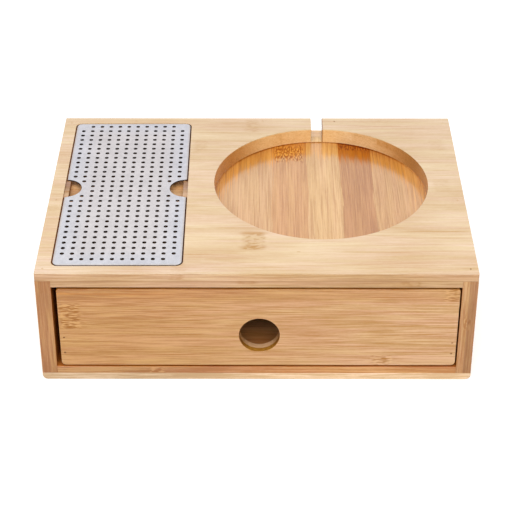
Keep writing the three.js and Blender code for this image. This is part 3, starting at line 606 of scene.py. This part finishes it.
bamboo_bottom = bamboo(
    "bamboo_bottom", "x", "y", strip0=-127.5, strip_w=28.3, mid=(0.51, 0.237, 0.076), seed=53.0, spread=2.2, mix=(0.8, 1.1, 0.8, 0.7, 0.8), gloss=0.1, hue_var=1.8, hashed=0.4,
    node_mix=(0.7, 0.9), nodes=[(-80.4, -127.5, 9.0, 1.0, 1.0, 9.6, 3.0), (62.0, -127.5, 8.0, 1.0, 0.6, 3.4, 3.0)], finish=finish_bottom)
box_mid = dict(mid=(0.74, 0.43, 0.2), gloss=0.1, spread=1.4, hashed=0.6, coat=0.35, coat_rough=0.3, rough=0.5)
bamboo_box_side = bamboo("bamboo_box_side", "y", "z", strip0=13.0, strip_w=24.0, seed=61.0, **box_mid)
bamboo_box_back = bamboo("bamboo_box_back", "x", "z", strip0=13.0, strip_w=24.0, seed=67.0, **box_mid)


def finish_tray(g, f, colour):
    # painted shade along the front board, with a warmer band behind it
    colour = g.mix(1.0 - g.smooth(-92.0, -62.0, g.y), colour, (1.1, 0.88, 0.68, 1.0), "MULTIPLY")
    return g.mix(1.0 - g.smooth(-104.0, -86.0, g.y), colour, (0.66, 0.58, 0.54, 1.0), "MULTIPLY")


bamboo_tray = bamboo("bamboo_tray", "x", "y", strip0=-120.0, strip_w=30.0, seed=71.0, finish=finish_tray, **box_mid)


def satin_steel():
    g = Graph("satin_steel")
    cloud = g.noise(g.vec(g.x * 0.02, g.y * 0.02, g.z * 0.02), 3.0, 0.55)
    brush = g.noise(g.vec(g.x * 3.2, g.y * 0.05, g.z * 0.05), 2.0, 0.6)
    scuff = g.smooth(0.62, 0.8, g.noise(g.vec(g.x * 0.25, g.y * 0.18, 0.0), 3.0, 0.6))
    blot = g.noise(g.vec(g.x * 0.07, g.y * 0.05, 0.0), 2.5, 0.55)
    colour = g.mix(g.math("ADD", cloud * 0.35 + blot * 0.35, brush * 0.3, clamp=True), lin(150, 150, 153), lin(205, 204, 205))
    speck = g.noise(g.vec(g.x * 0.32, g.y * 0.22, 0.0), 2.0, 0.6)
    colour = g.mix(1.0, colour, g.ramp(g.smooth(0.3, 0.7, speck), [(0.94, 0.94, 0.94), (1.0, 1.0, 1.0), (1.05, 1.05, 1.05)]), "MULTIPLY")
    cx, cy, c, k = (GX0 + GX1) / 2, (GY0 + GY1) / 2, math.cos(ASKEW), math.sin(ASKEW)
    x, y = (g.x - cx) * c + (g.y - cy) * k + cx, (g.y - cy) * c - (g.x - cx) * k + cy
    grit = g.noise(g.vec(g.x * 1.1, g.y * 0.8, 0.0), 2.0, 0.6)
    colour = g.mix(1.0, colour, g.ramp(g.smooth(0.3, 0.7, grit), [(0.955, 0.955, 0.955), (1.0, 1.0, 1.0), (1.045, 1.045, 1.045)]), "MULTIPLY")
    rim = g.math("MINIMUM", g.math("MINIMUM", x - GX0, GX1 - x), g.math("MINIMUM", y - GY0, GY1 - y))
    # painted reflection: warm in the middle of the plate, cooler near its outline, lighter towards the front and darker
    # towards the back
    colour = g.mix(1.0, colour, g.mix(g.smooth(2.0, 26.0, rim), (1.0, 1.01, 1.06, 1.0), (1.04, 1.0, 0.985, 1.0)), "MULTIPLY")
    colour = g.mix(1.0, colour, g.mix(g.smooth(-90.0, 100.0, g.y), (1.05, 1.045, 1.045, 1.0), (0.98, 0.965, 0.97, 1.0)), "MULTIPLY")
    # painted shade on the cut faces of the holes and the outline, and on a thin band of the top along the outline
    shaded_cut_faces = 1.0 - g.smooth(0.35, 0.75, g.math("ABSOLUTE", g.nz))
    colour = g.mix(shaded_cut_faces, colour, g.mix(g.smooth(0.8, 1.6, rim), (0.4, 0.29, 0.2, 1.0), (0.3, 0.28, 0.26, 1.0)), "MULTIPLY")
    colour = g.mix((1.0 - g.smooth(0.7, 1.8, rim)) * (1.0 - shaded_cut_faces), colour, (0.96, 0.89, 0.81, 1.0), "MULTIPLY")
    rough = 0.36 + (cloud - 0.5) * 0.12 + (brush - 0.5) * 0.16 + scuff * 0.05
    return g.shader(colour, rough, brush, 0.006, Metallic=1.0)


def brad_steel():
    g = Graph("brad_steel")
    grime = g.noise(g.vec(g.x * 1.3, g.y * 1.3, g.z * 1.3), 3.0, 0.6)
    colour = g.mix(g.smooth(0.35, 0.65, grime), lin(104, 64, 26), lin(146, 102, 54))
    colour = g.mix(g.smooth(100.0, 120.0, g.x) * (1.0 - g.smooth(95.0, 100.0, g.z)) * 0.6, colour, lin(196, 146, 94))
    return g.shader(colour, 0.5 + grime * 0.2, grime, 0.02, Metallic=0.25)


def brad_filled():
    """Heads that are set flush and touched up in the colour of the board."""
    g = Graph("brad_filled")
    grime = g.noise(g.vec(g.x * 1.3, g.y * 1.3, g.z * 1.3), 3.0, 0.6)
    return g.shader(g.mix(g.smooth(0.35, 0.65, grime), (0.48, 0.30, 0.13, 1.0), (0.54, 0.35, 0.16, 1.0)), 0.45 + grime * 0.2, grime, 0.02)


steel = satin_steel()
brad_metal = brad_steel()
brad_wood = brad_filled()

# ------------------------------------------------------------------ brads
edge_x = X - 6.25
brads = []     # name, body, point, direction that the head looks along, boards it is in
for where, y in (("front", -120.0), ("middle", -16.5), ("rear", 118.0)):
    brads.append((f"brad_top_left_{where}", "carcass", (-edge_x, y, H), (0, 0, 1), ("top", "left")))
    brads.append((f"brad_top_right_{where}", "carcass", (edge_x, y, H), (0, 0, 1), ("top", "right")))
for where, x in (("left", -110.0), ("centre", 5.0), ("inner_right", 70.5), ("right", 111.0)):
    brads.append((f"brad_top_back_{where}", "carcass", (x, 121.25, H), (0, 0, 1), ("top", "back")))
for where, y in (("front", -110.0), ("middle", 0.0), ("rear", 108.0)):
    brads.append((f"brad_bottom_left_{where}", "carcass", (-edge_x, y, 0.0), (0, 0, -1), ("bottom", "left")))
    brads.append((f"brad_bottom_right_{where}", "carcass", (edge_x, y, 0.0), (0, 0, -1), ("bottom", "right")))
for where, x in (("left", -100.0), ("right", 100.0)):
    brads.append((f"brad_bottom_back_{where}", "carcass", (x, 121.5, 0.0), (0, 0, -1), ("bottom", "back")))
for where, x, z, side in (("left_upper", DX0 + 3.5, 42.25, "box_left"), ("left_lower", DX0 + 3.5, 27.25, "box_left"),
                          ("right_upper", DX1 - 3.5, 37.25, "box_right"), ("right_lower", DX1 - 3.5, 26.5, "box_right")):
    brads.append((f"brad_drawer_front_{where}", "drawer", (x, -Y, z), (0, -1, 0), ("front", side)))
for where, z in (("upper", 62.0), ("lower", 34.0)):
    brads.append((f"brad_drawer_back_left_{where}", "drawer", (DX0, 106.5, z), (-1, 0, 0), ("box_left", "box_back")))
    brads.append((f"brad_drawer_back_right_{where}", "drawer", (DX1, 106.5, z), (1, 0, 0), ("box_right", "box_back")))


def along(point, direction):
    """Maps (radius x, radius y, height) to the frame, with height along the direction."""
    d = Vector(direction)
    a = d.orthogonal().normalized()
    b = d.cross(a)
    return lambda x, y, h: (Vector(point) + a * x + b * y + d * h) * MM


def bore_tools(bm, board):
    for _, _, point, direction, boards in brads:
        if board not in boards:
            continue
        to = along(point, direction)
        for r, lo, hi in ((0.73 if board == "top" else 0.8, -1.35, 1.0), (0.66, -25.7, -1.0)):
            low = [bm.verts.new(to(x, y, lo)) for x, y in circle(0, 0, r, 12)]
            high = [bm.verts.new(to(x, y, hi)) for x, y in circle(0, 0, r, 12)]
            faces = [bm.faces.new(low[::-1]), bm.faces.new(high)]
            for i in range(12):
                j = (i + 1) % 12
                faces.append(bm.faces.new((low[i], low[j], high[j], high[i])))
            bmesh.ops.recalc_face_normals(bm, faces=faces)
    return bm


def near_brad(p):
    return any((Vector(b[2]) - p).cross(Vector(b[3])).length < 1.6 for b in brads)


BRAD_PROFILE = [(0.0, -25.4), (0.3, -24.4), (0.6, -23.2), (0.6, -1.0), (0.7, -0.92), (0.72, -0.8), (0.72, -0.56), (0.62, -0.46), (0.35, -0.42), (0.0, -0.40)]
for name, body, point, direction, _ in brads:
    bm = bmesh.new()
    to = along(point, direction)
    flush = direction[2] == 1 and name not in ("brad_top_right_front", "brad_top_back_inner_right")
    lift = 0.385 if flush else 0.0
    rings = [[bm.verts.new(to(x, y, h + (lift if h > -0.99 else 0.0))) for x, y in circle(0, 0, r, 16)] if r else bm.verts.new(to(0, 0, h + (lift if h > -0.99 else 0.0))) for r, h in BRAD_PROFILE]
    for a, b in zip(rings, rings[1:]):
        for i in range(16):
            j = (i + 1) % 16
            if not isinstance(a, list):
                bm.faces.new((a, b[j], b[i]))
            elif not isinstance(b, list):
                bm.faces.new((a[i], a[j], b))
            else:
                bm.faces.new((a[i], a[j], b[j], b[i]))
    bmesh.ops.recalc_face_normals(bm, faces=bm.faces)
    dress(new_object(f"{name}_nail", mesh_of(bm, name)), brad_wood if flush else brad_metal, body, [name])

# ------------------------------------------------------------------ carcass
# top board: T-section over the sides
bm = bmesh.new()
section = [(-INNER_X, TOP_UNDER), (INNER_X, TOP_UNDER), (INNER_X, SIDE_TOP), (X, SIDE_TOP), (X, H), (-X, H), (-X, SIDE_TOP), (-INNER_X, SIDE_TOP)]
prism(bm, section, -Y, Y, "y")
tools = bmesh.new()
prism(tools, askew(rounded_rect(rx0, ry0, rx1, ry1, G_R + GAP)), GZ0, H + 1)
prism(tools, askew(rounded_rect(rx0 + LEDGE, ry0 + LEDGE, rx1 - LEDGE, ry1 - LEDGE, 4.0)), SIDE_TOP, GZ0 + 0.5)
# the round recess and its slot as one outline
a, b = math.asin(SLOT_W / 2 / RR), math.asin(SLOT_R / RR)
prism(tools, arc(RX, RY, RR, math.pi / 2 + a, math.pi * 2.5 - b, 150) + [(RX + SLOT_R, Y + 1), (RX - SLOT_W / 2, Y + 1)], TOP_UNDER - 1, H + 1)
bore_tools(tools, "top")
bm = carve(bm, tools)


def top_edges(p, d):
    if near_brad(p):
        return 0.0
    outer = abs(p.x) > X - 0.1 or abs(p.y) > Y - 0.1
    if abs(d.z) > 0.9:
        if abs(p.x) > X - 0.1:
            return 1.2
        return 0.35 if p.y > RY + RR - 5 else 0.0
    if p.z > H - 0.1:
        if abs(p.x - RX) < SLOT_W / 2 + 0.5 and p.y > RY + RR - 1.0:
            return 1.0 if p.x > RX else 0.2
        if outer:
            return 0.3 if p.y < 0 else 0.5
        return 0.25 if p.x < GX1 + 3 else 0.35 + 0.4 * min(1.0, max(0.0, (p.y - RY - 40.0) / 40.0))
    if p.z > GZ0 - 0.1:
        return 0.3
    return 0.12


top = piece("top_panel_bamboo", bm, top_edges, bamboo_top, "carcass", ["top_panel"])
top.data.materials.append(bamboo_ledge)
for face in top.data.polygons:
    at = face.center / MM
    if rx0 - 1.0 < at.x < rx1 + 1.0 and ry0 - 1.0 < at.y < ry1 + 1.0 and SIDE_TOP - 0.1 < at.z < H - 0.26:
        face.material_index = 1

# sides
for name, sign in (("left", -1), ("right", 1)):
    bm = bmesh.new()
    block(bm, min(sign * X, sign * INNER_X), -Y, BOTTOM_PLY, max(sign * X, sign * INNER_X), Y, SIDE_TOP)
    bm = carve(bm, bore_tools(bmesh.new(), name))

    def side_edges(p, d):
        if near_brad(p):
            return 0.0
        if abs(d.z) > 0.9:
            return 0.6 if abs(p.x) > X - 0.1 else 0.4
        return 0.1

    piece(f"{name}_side_panel_bamboo", bm, side_edges, bamboo_side, "carcass", [f"{name}_side_panel"])

# back
bm = bmesh.new()
block(bm, -INNER_X, BACK_Y0, BOTTOM_T, INNER_X, Y, TOP_UNDER)
bm = carve(bm, bore_tools(bmesh.new(), "back"))
piece("back_panel_bamboo", bm, lambda p, d: 0.0 if near_brad(p) else 0.12, bamboo_back, "carcass", ["back_panel"])

# bottom board: T-section under the sides
bm = bmesh.new()
q, r = math.pi / 2, 4.4
section = (arc(X - r, r, r, -q, 0, 8) + [(X, BOTTOM_PLY), (INNER_X, BOTTOM_PLY), (INNER_X, BOTTOM_T), (-INNER_X, BOTTOM_T), (-INNER_X, BOTTOM_PLY), (-X, BOTTOM_PLY)]
           + arc(-X + r, r, r, 2 * q, 3 * q, 8))
prism(bm, section, -Y, Y, "y")
bm = carve(bm, bore_tools(bmesh.new(), "bottom"))


def bottom_edges(p, d):
    if near_brad(p):
        return 0.0
    if p.z < 0.1:
        return 0.6
    if abs(p.y) > Y - 0.1 and abs(p.x) > X - 4.5:
        return 0.6
    if abs(d.z) > 0.9:
        return 0.1
    if p.z > BOTTOM_T - 0.1 and p.y < -Y + 0.1:
        return 0.5
    return 0.1


piece("bottom_panel_bamboo", bm, bottom_edges, bamboo_bottom, "carcass", ["bottom_panel"])

# floor under the recess and the drip well
bm = bmesh.new()
block(bm, -INNER_X, FLOOR_FRONT, TOP_UNDER - FLOOR_T, INNER_X, BACK_Y0, TOP_UNDER)
tools = bmesh.new()
prism(tools, circle(RX, RY, SEAT_R, 160), TOP_UNDER - SEAT_DEPTH, TOP_UNDER + 1)
bm = carve(bm, tools)
piece("recess_floor_bamboo", bm, lambda p, d: 0.15, bamboo_floor, "carcass", ["recess_floor_panel"])


# ------------------------------------------------------------------ drip grate
def grate_outline(d):
    """The plate's outline, drawn in by d."""
    r, q = G_R - d, math.pi / 2
    x0, x1, y0, y1 = GX0 + d, GX1 - d, GY0 + d, GY1 - d
    reach = NOTCH_R + d
    open_a = math.asin(d / reach)
    right = arc(GX1, NOTCH_Y, reach, -q - open_a, -3 * q + open_a, 40)
    open_b = math.asin((NOTCH_IN + d) / reach)
    left = arc(GX0 - NOTCH_IN, NOTCH_Y, reach, q - open_b, -q + open_b, 40)
    return askew(arc(x1 - r, y0 + r, r, -q, 0, 10) + right + arc(x1 - r, y1 - r, r, 0, q, 10)
            + arc(x0 + r, y1 - r, r, q, 2 * q, 10) + left + arc(x0 + r, y0 + r, r, 2 * q, 3 * q, 10))


def hole_centres():
    for row in range(28):
        out = 1 if row in (0, 27, 12, 15) else 2 if row in (13, 14) else 0
        for col in range(out, 12 - out):
            yield HOLE_X0 + PITCH_X * col, HOLE_Y0 - PITCH_Y * row


bm = bmesh.new()


def level(outline, z, upright=False):
    return [bm.verts.new(Vector((x, z, y) if upright else (x, y, z)) * MM) for x, y in outline]


def walls(a, b):
    n = len(a)
    for i in range(n):
        j = (i + 1) % n
        bm.faces.new((a[i], a[j], b[j], b[i]))


def sheet_face(loops, upright=False):
    """Fills a flat face between an outline and its holes."""
    verts, edges, owner = [], [], []
    for n, loop in enumerate(loops):
        k = len(verts)
        verts += loop
        owner += [n] * len(loop)
        edges += [(k + i, k + (i + 1) % len(loop)) for i in range(len(loop))]
    _, _, faces, origin, _, _ = delaunay_2d_cdt([(v.co.xz if upright else v.co.xy) * 1000.0 for v in verts], edges, [], 1, 1e-6)
    for f in faces:
        ids = [origin[i][0] for i in f]
        own = {owner[i] for i in ids}
        if len(own) > 1 or own == {0}:
            bm.faces.new([verts[i] for i in ids])


EASE = 0.18
tops, unders = [], []
a, b = level(grate_outline(EASE), GZ1), level(grate_outline(0.05), GZ1 - 0.06)
c, d = level(grate_outline(0.0), GZ1 - EASE), level(grate_outline(0.0), GZ0)
walls(a, b), walls(b, c), walls(c, d)
tops.append(a), unders.append(d)
for hx, hy in askew(hole_centres()):
    a, b = level(circle(hx, hy, HOLE_R + 0.12, 20), GZ1), level(circle(hx, hy, HOLE_R, 20), GZ1 - 0.12)
    c = level(circle(hx, hy, HOLE_R, 20), GZ0)
    walls(a, b), walls(b, c)
    tops.append(a), unders.append(c)
sheet_face(tops)
sheet_face(unders)
bmesh.ops.recalc_face_normals(bm, faces=bm.faces)
dress(new_object("drip_grate_sheet", mesh_of(bm, "drip_grate_sheet")), steel, "grate", ["drip_grate"], sharp=50)

# ------------------------------------------------------------------ drawer
ix0, ix1, iy1 = DX0 + BOX_T, DX1 - BOX_T, BOX_Y1 - BOX_T


def groove_tool():
    return block(bmesh.new(), ix0 - GROOVE, FRONT_Y1 - GROOVE, TRAY_Z0 - CLEAR, ix1 + GROOVE, iy1 + GROOVE, TRAY_Z0 + TRAY_T + CLEAR)


def front_outline(d, low=3.6, high=2.0):
    """The drawer front's outline, drawn in by d; its lower corners are rounder."""
    q, x0, x1, z0, z1 = math.pi / 2, DX0 + d, DX1 - d, FRONT_Z0 + d, FRONT_Z1 - d
    low, high = low - d, high - d
    return (arc(x1 - low, z0 + low, low, -q, 0, 10) + arc(x1 - high, z1 - high, high, 0, q, 10)
            + arc(x0 + high, z1 - high, high, q, 2 * q, 10) + arc(x0 + low, z0 + low, low, 2 * q, 3 * q, 10))


bm = bmesh.new()
fronts, backs = [], []


def through(shape, ease0, ease1, steps=4):
    """Walls from the front to the back with rounded ends; shape(d) is the outline for a rounding of d."""
    turns = [math.pi / 2 * k / steps for k in range(steps + 1)]
    rings = [level(shape(ease0 * (1 - math.sin(t))), -Y + ease0 * (1 - math.cos(t)), True) for t in turns]
    rings += [level(shape(ease1 * (1 - math.cos(t))), FRONT_Y1 - ease1 * (1 - math.sin(t)), True) for t in turns]
    for p, n in zip(rings, rings[1:]):
        walls(p, n)
    fronts.append(rings[0]), backs.append(rings[-1])


through(front_outline, 0.55, 0.4)
through(lambda d: circle(FINGER_X, FINGER_Z, FINGER_R + d, 72), 0.7, 0.4)
for _, _, point, _, boards in brads:
    if "front" in boards:
        rings = [level(circle(point[0], point[2], r, 12), y, True) for r, y in ((0.8, -Y), (0.8, -Y + 1.35), (0.66, -Y + 1.35), (0.66, FRONT_Y1))]
        for p, n in zip(rings, rings[1:]):
            walls(p, n)
        fronts.append(rings[0]), backs.append(rings[-1])
groove = rect(ix0 - GROOVE, TRAY_Z0 - CLEAR, ix1 + GROOVE, TRAY_Z0 + TRAY_T + CLEAR)
rim, bed = level(groove, FRONT_Y1, True), level(groove, FRONT_Y1 - GROOVE, True)
walls(rim, bed)
bm.faces.new(bed)
backs.append(rim)
sheet_face(fronts, True)
sheet_face(backs, True)
bmesh.ops.recalc_face_normals(bm, faces=bm.faces)
dress(new_object("drawer_front_bamboo", mesh_of(bm, "drawer_front_bamboo")), bamboo_front, "drawer", ["drawer_front"])

for name, x0, x1 in (("left", DX0, ix0), ("right", ix1, DX1)):
    bm = bmesh.new()
    block(bm, x0, FRONT_Y1, BOX_Z0, x1, BOX_Y1, BOX_Z1)
    bm = carve(bm, bore_tools(groove_tool(), f"box_{name}"))
    piece(f"drawer_{name}_side_bamboo", bm, lambda p, d: 0.0 if near_brad(p) else 0.6 if p.z > BOX_Z1 - 0.1 else 0.2, bamboo_box_side, "drawer", [f"drawer_{name}_side"])

bm = bmesh.new()
block(bm, ix0, iy1, BOX_Z0, ix1, BOX_Y1, BOX_Z1)
bm = carve(bm, bore_tools(groove_tool(), "box_back"))
piece("drawer_back_bamboo", bm, lambda p, d: 0.0 if near_brad(p) else 0.6 if p.z > BOX_Z1 - 0.1 and abs(d.x) > 0.9 else 0.12, bamboo_box_back, "drawer", ["drawer_back"])

bm = bmesh.new()
t = GROOVE - CLEAR
block(bm, ix0 - t, FRONT_Y1 - t, TRAY_Z0, ix1 + t, iy1 + t, TRAY_Z0 + TRAY_T)
piece("drawer_bottom_bamboo", bm, lambda p, d: 0.3, bamboo_tray, "drawer", ["drawer_bottom"])

# ------------------------------------------------------------------ stage
bm = bmesh.new()
bmesh.ops.create_grid(bm, x_segments=1, y_segments=1, size=4.0)
floor = new_object("floor", mesh_of(bm, "floor"))
floor.location.z = -0.0002
g = Graph("floor_white")
tint = g.noise(g.vec(g.x * 0.002, g.y * 0.002, 0.0), 2.0, 0.5)
floor.data.materials.append(g.shader(g.mix(tint, (0.90, 0.90, 0.90, 1.0), (0.93, 0.93, 0.93, 1.0)), 0.9, Emission_Color=(1.0, 1.0, 1.0, 1.0), Emission_Strength=0.22))

world = bpy.data.worlds.new("studio")
scene.world = world
world.use_nodes = True
wt = world.node_tree
sky = wt.nodes["Background"]
place = wt.nodes.new("ShaderNodeTexCoord")
parts = wt.nodes.new("ShaderNodeSeparateXYZ")
fade = wt.nodes.new("ShaderNodeMapRange")
fade.interpolation_type = "SMOOTHSTEP"
fade.inputs["From Min"].default_value, fade.inputs["From Max"].default_value = 0.15, 0.7
fade.inputs["To Min"].default_value, fade.inputs["To Max"].default_value = 0.42, 1.5
wt.links.new(place.outputs["Generated"], parts.inputs[0])
wt.links.new(parts.outputs[1], fade.inputs["Value"])
wt.links.new(fade.outputs[0], sky.inputs[1])
sky.inputs[0].default_value = (1.0, 1.0, 1.0, 1.0)


def softbox(name, place, aim, size, power, tint=(1.0, 1.0, 1.0)):
    data = bpy.data.lights.new(name, "AREA")
    data.shape, data.size, data.size_y, data.energy, data.color = "RECTANGLE", size[0], size[1], power, tint
    ob = new_object(name, data)
    ob.location = place
    ob.rotation_euler = (Vector(aim) - Vector(place)).to_track_quat("-Z", "Y").to_euler()
    ob.visible_camera = False
    return ob


softbox("key", (-0.1, -0.55, 1.45), (0.0, 0.0, 0.05), (1.6, 1.0), 16.0)
softbox("front", (0.0, -1.2, 1.1), (0.0, 0.0, 0.05), (1.4, 0.5), 8.0)

camera = bpy.data.cameras.new("camera")
camera.lens, camera.sensor_width = 112.374, 36.0
camera.clip_start, camera.clip_end = 0.05, 20.0
camera_ob = new_object("camera", camera)
camera_ob.location = (0.002644, -1.16413, 0.806996)
turn = Matrix.Rotation(math.radians(0.1675), 3, "Z") @ Matrix.Rotation(math.radians(90.0 - 33.4918), 3, "X") @ Matrix.Rotation(math.radians(-0.0359), 3, "Z")
camera_ob.rotation_euler = turn.to_euler()
scene.camera = camera_ob

scene.view_settings.view_transform = "Standard"
scene.view_settings.look = "None"
